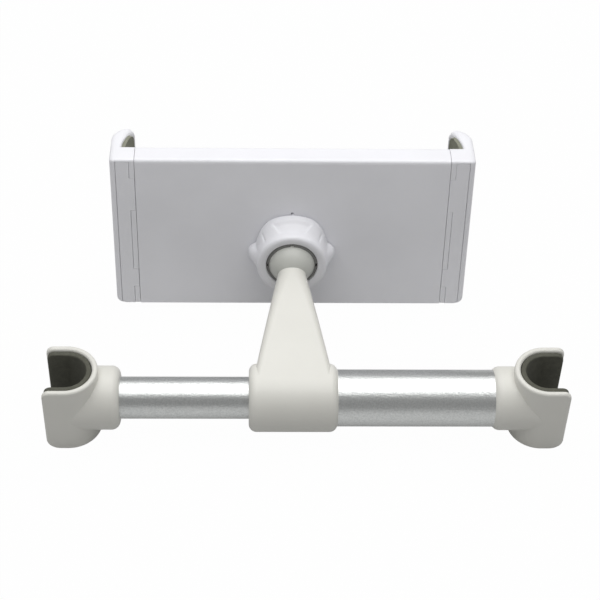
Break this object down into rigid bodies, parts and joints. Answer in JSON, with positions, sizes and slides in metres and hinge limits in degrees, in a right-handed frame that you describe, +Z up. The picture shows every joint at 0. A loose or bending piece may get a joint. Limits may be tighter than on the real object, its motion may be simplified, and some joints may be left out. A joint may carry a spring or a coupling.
{
  "type": "headrest tablet holder",
  "caption": "Telescopic bar with open hooks for headrest posts and a tapered arm with a ball joint that carries a sprung, sliding tablet clamp.",
  "frame": {"origin": "on the telescopic bar's axis, midway between the two headrest posts' axes", "axes": "+X along the bar towards the thicker outer tube, +Y away from the bar towards the tablet, +Z up along the posts"},
  "size_m": [0.1722, 0.0941, 0.0637],
  "materials": {
    "white_plastic": "satin warm white moulding",
    "shell_plastic": "satin cool white moulding",
    "satin_aluminium": "bead-blasted and anodised satin",
    "grip_rubber": "matt soft grip",
    "steel": "plated",
    "slide_plastic": "natural sliding plastic"
  },
  "bodies": {
    "bar": {"arm": "white_plastic", "outer_tube": "satin_aluminium", "guide_bush": "slide_plastic", "hub_screw": "steel", "right_hook": "white_plastic", "right_hook_pad": "grip_rubber", "right_tube_plug": "slide_plastic", "right_hook_screw": "steel"},
    "lock": {"lock_sleeve": "slide_plastic"},
    "rod": {"inner_tube": "satin_aluminium", "lock_cone": "slide_plastic", "left_hook": "white_plastic", "left_hook_pad": "grip_rubber", "left_tube_plug": "slide_plastic", "left_hook_screw": "steel"},
    "ball": {"ball_stud": "white_plastic"},
    "seat": {"seat_pad": "grip_rubber"},
    "holder": {"front_cover": "shell_plastic", "back_cover": "shell_plastic", "ball_socket": "shell_plastic", "socket_screws": "steel", "front_grip_pad": "grip_rubber", "cover_screws": "steel", "left_spring": "steel", "right_spring": "steel"},
    "collar": {"locking_collar": "shell_plastic"},
    "pinion": {"pinion": "slide_plastic"},
    "left_jaw": {"left_jaw": "shell_plastic", "left_jaw_cover": "shell_plastic", "left_jaw_pad": "grip_rubber"},
    "right_jaw": {"right_jaw": "shell_plastic", "right_jaw_cover": "shell_plastic", "right_jaw_pad": "grip_rubber"}
  },
  "joints": [
    {"name": "rod_slide", "type": "slide", "parent": "bar", "child": "lock", "axis": [-1, 0, 0], "range_m": [-0.035, 0.02]},
    {"name": "rod_twist", "type": "hinge", "parent": "lock", "child": "rod", "pos_m": [0, 0, 0], "axis": [1, 0, 0], "range_deg": [-90, 90]},
    {"name": "ball_roll", "type": "hinge", "parent": "bar", "child": "ball", "pos_m": [-0.00436, 0.05203, 0.01351], "axis": [0, 0.9679, 0.2513], "continuous": true},
    {"name": "ball_tilt", "type": "hinge", "parent": "ball", "child": "seat", "pos_m": [-0.00436, 0.05203, 0.01351], "axis": [1, 0, 0], "range_deg": [-6, 40]},
    {"name": "ball_swivel", "type": "hinge", "parent": "seat", "child": "holder", "pos_m": [-0.00436, 0.05203, 0.01351], "axis": [0, 0.126, 0.992], "range_deg": [-20, 20]},
    {"name": "collar_turn", "type": "hinge", "parent": "holder", "child": "collar", "pos_m": [-0.00436, 0.05203, 0.01351], "axis": [0, -0.992, 0.126], "range_deg": [0, 180]},
    {"name": "left_jaw_slide", "type": "slide", "parent": "holder", "child": "left_jaw", "axis": [-1, 0, 0], "range_m": [0, 0.036], "stiffness_N_per_m": 300, "springref_m": -0.03, "deforming": ["left_spring"]},
    {"name": "right_jaw_slide", "type": "slide", "parent": "holder", "child": "right_jaw", "axis": [1, 0, 0], "range_m": [0, 0.036], "stiffness_N_per_m": 300, "springref_m": -0.03, "deforming": ["right_spring"]},
    {"name": "pinion_turn", "type": "hinge", "parent": "holder", "child": "pinion", "pos_m": [-0.00436, 0.06526, 0.03753], "axis": [0, -0.992, 0.126], "range_deg": [0, 412.5]}
  ],
  "couplings": [
    {"joint": "right_jaw_slide", "follows": "left_jaw_slide", "ratio": 1},
    {"joint": "pinion_turn", "follows": "left_jaw_slide", "rad_per_m": 200}
  ]
}
